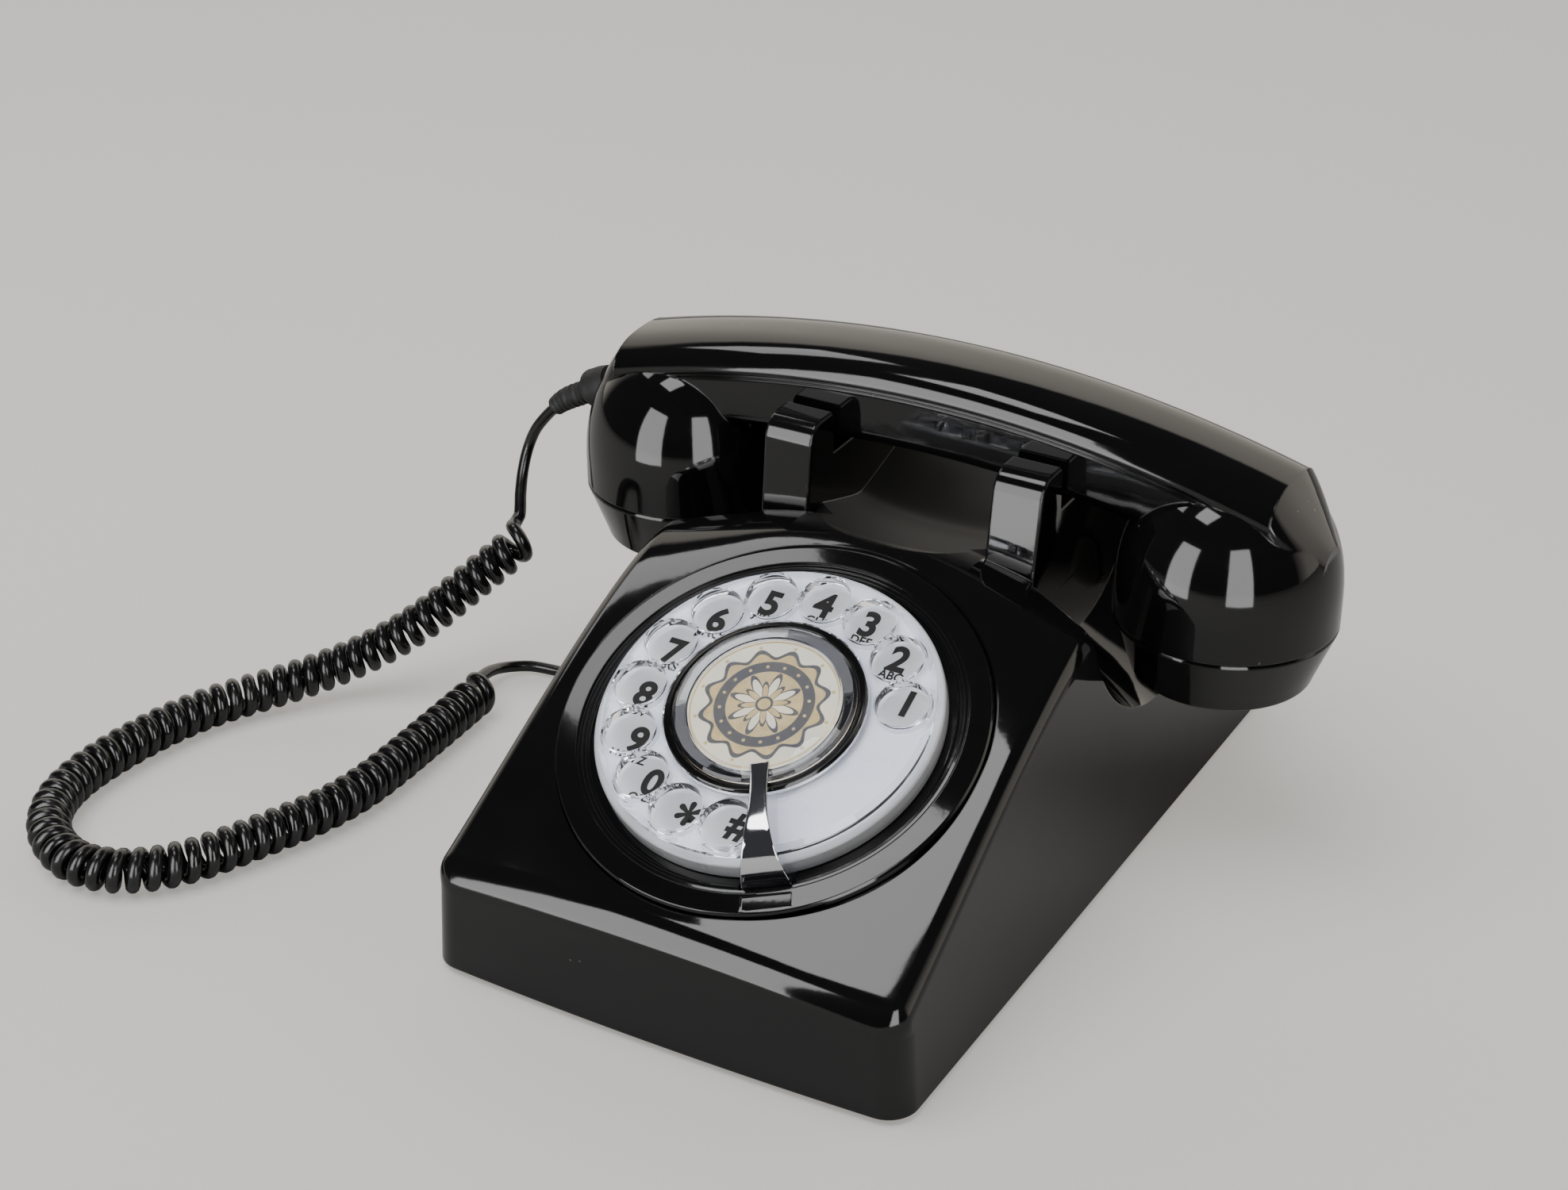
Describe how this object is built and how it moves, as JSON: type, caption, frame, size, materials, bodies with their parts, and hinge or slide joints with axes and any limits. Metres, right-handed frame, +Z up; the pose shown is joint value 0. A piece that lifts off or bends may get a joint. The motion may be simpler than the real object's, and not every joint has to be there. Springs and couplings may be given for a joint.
{
  "type": "rotary dial desk telephone",
  "caption": "Black desk telephone: sloping moulded housing, clear finger wheel dial with a bent stop, handset resting in a two-horned cradle, and a curly cord looped on the table.",
  "frame": {"origin": "on the table, under the middle of the telephone without its cord", "axes": "+X to the caller's right along the handset, +Y to the back, +Z up"},
  "size_m": [0.3297, 0.2611, 0.1316],
  "materials": {
    "black_plastic": "gloss",
    "white_plate": "satin",
    "clear_plastic": "clear",
    "hub_black": "gloss",
    "hub_art": "printed",
    "chrome": "polished",
    "steel": "zinc plated",
    "brass": "machined",
    "dark_plastic": "matte",
    "jack_plastic": "matte",
    "circuit_board": "lacquered",
    "rubber": "matte",
    "cord_jacket": "gloss"
  },
  "bodies": {
    "base": {"ballast": "steel", "base_cord_lead": "cord_jacket", "base_grommet": "rubber", "base_plate": "black_plastic", "base_screw_1": "steel", "base_screw_2": "steel", "base_screw_3": "steel", "base_screw_4": "steel", "capacitor": "dark_plastic", "chip_1": "dark_plastic", "chip_2": "dark_plastic", "circuit_board": "circuit_board", "dial_bridge": "steel", "dial_frame": "dark_plastic", "dial_ring": "black_plastic", "dial_screw_1": "steel", "dial_screw_2": "steel", "dial_screw_3": "steel", "dial_screw_4": "steel", "finger_stop": "chrome", "foot_1": "rubber", "foot_2": "rubber", "foot_3": "rubber", "foot_4": "rubber", "handset_cord_curl": "cord_jacket", "handset_cord_lead": "cord_jacket", "hook_bracket": "steel", "hook_pin": "steel", "hook_switch": "dark_plastic", "housing": "black_plastic", "line_jack": "jack_plastic", "number_plate": "white_plate", "pulse_switch": "dark_plastic", "return_spring_drum": "brass", "shaft_bush": "brass", "speaker": "dark_plastic"},
    "dial": {"finger_wheel": "clear_plastic", "hub_ring": "hub_black", "hub_label": "hub_art", "hub_cap": "clear_plastic", "dial_shaft": "steel", "main_gear": "brass"},
    "governor": {"governor": "brass"},
    "handset": {"handset_shell": "black_plastic", "mouth_cap": "black_plastic", "ear_cap": "black_plastic", "receiver": "dark_plastic", "microphone": "dark_plastic", "handset_weight": "steel", "cord_boot": "rubber"},
    "plunger_left": {"hook_plunger_left": "black_plastic"},
    "plunger_right": {"hook_plunger_right": "black_plastic"},
    "lever": {"hook_lever": "steel"}
  },
  "joints": [
    {"name": "dial_spin", "type": "hinge", "parent": "base", "child": "dial", "pos_m": [0, -0.0587, 0.0646], "axis": [0, 0.4321, -0.9018], "range_deg": [0, 332]},
    {"name": "governor_spin", "type": "hinge", "parent": "base", "child": "governor", "pos_m": [-0.01605, -0.04423, 0.07153], "axis": [0, 0.4321, -0.9018], "range_deg": [-1328, 0]},
    {"name": "handset_lift", "type": "slide", "parent": "base", "child": "handset", "axis": [0, 0, 1], "range_m": [0, 0.08]},
    {"name": "plunger_left_slide", "type": "slide", "parent": "base", "child": "plunger_left", "axis": [0, 0, 1], "range_m": [0, 0.004]},
    {"name": "plunger_right_slide", "type": "slide", "parent": "base", "child": "plunger_right", "axis": [0, 0, 1], "range_m": [0, 0.004]},
    {"name": "hook_lever_turn", "type": "hinge", "parent": "base", "child": "lever", "pos_m": [0, 0.066, 0.064], "axis": [-1, 0, 0], "range_deg": [0, 8.4]}
  ],
  "couplings": [
    {"joint": "governor_spin", "follows": "dial_spin", "ratio": -4},
    {"joint": "plunger_left_slide", "follows": "handset_lift", "ratio": 0.05},
    {"joint": "plunger_right_slide", "follows": "handset_lift", "ratio": 0.05},
    {"joint": "hook_lever_turn", "follows": "handset_lift", "rad_per_m": 1.832}
  ]
}
